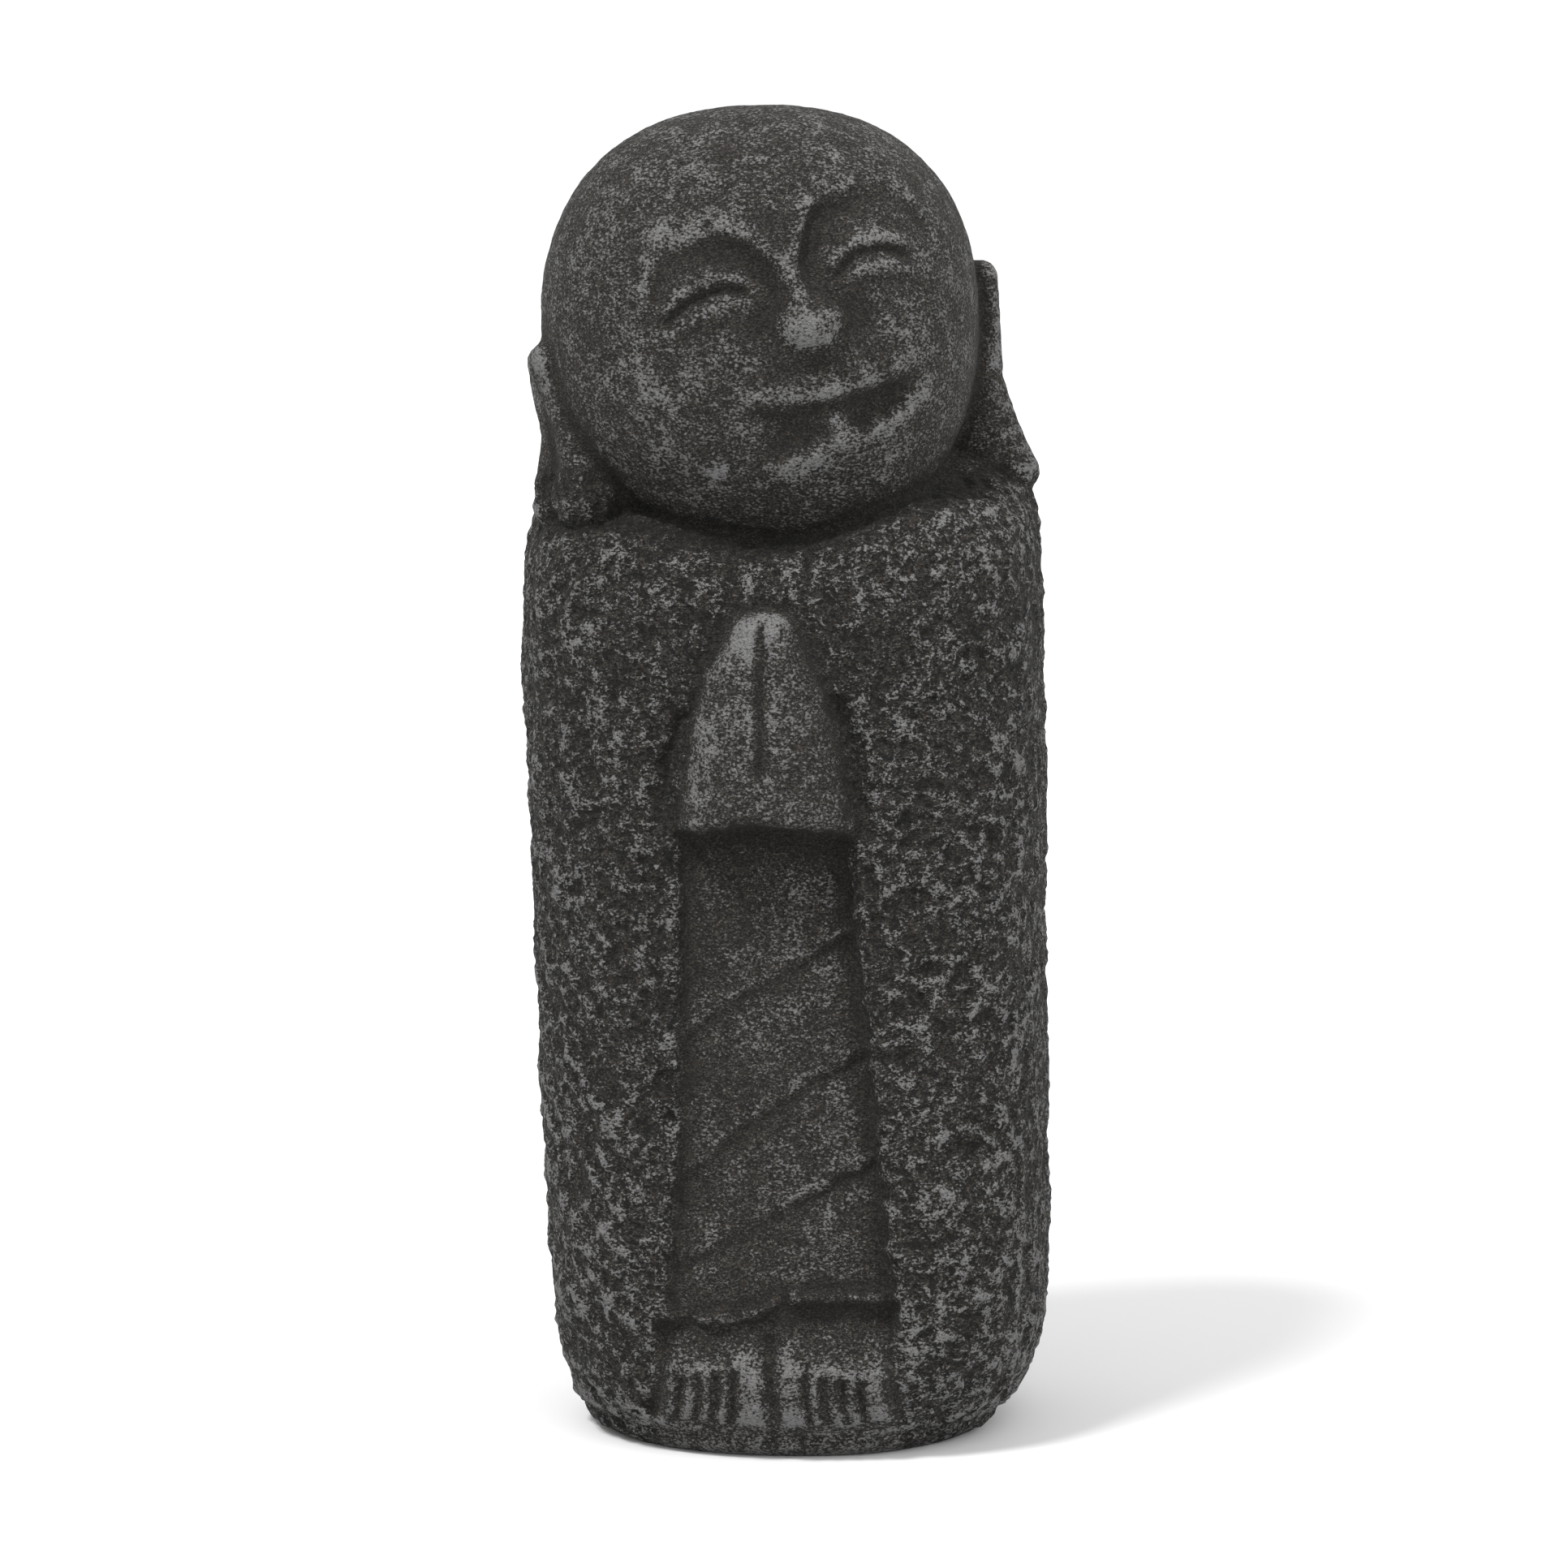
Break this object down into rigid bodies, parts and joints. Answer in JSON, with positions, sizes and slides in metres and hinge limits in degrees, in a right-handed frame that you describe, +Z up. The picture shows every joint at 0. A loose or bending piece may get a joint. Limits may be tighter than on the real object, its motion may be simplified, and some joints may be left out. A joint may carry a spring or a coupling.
{
  "type": "stone jizo statue",
  "caption": "Standing garden jizo of cast dark stone: a round tilted head, praying hands and a block-like robe over bare feet.",
  "frame": {"origin": "on the ground, in the middle of the flat underside", "axes": "+Z up, the figure faces -Y, +X is the figure's left"},
  "size_m": [0.1975, 0.1814, 0.5005],
  "materials": {
    "lava_stone": "rough sandy cast stone, dry-brushed light grey on what stands out"
  },
  "bodies": {
    "root": {"jizo_statue": "lava_stone"}
  },
  "joints": []
}
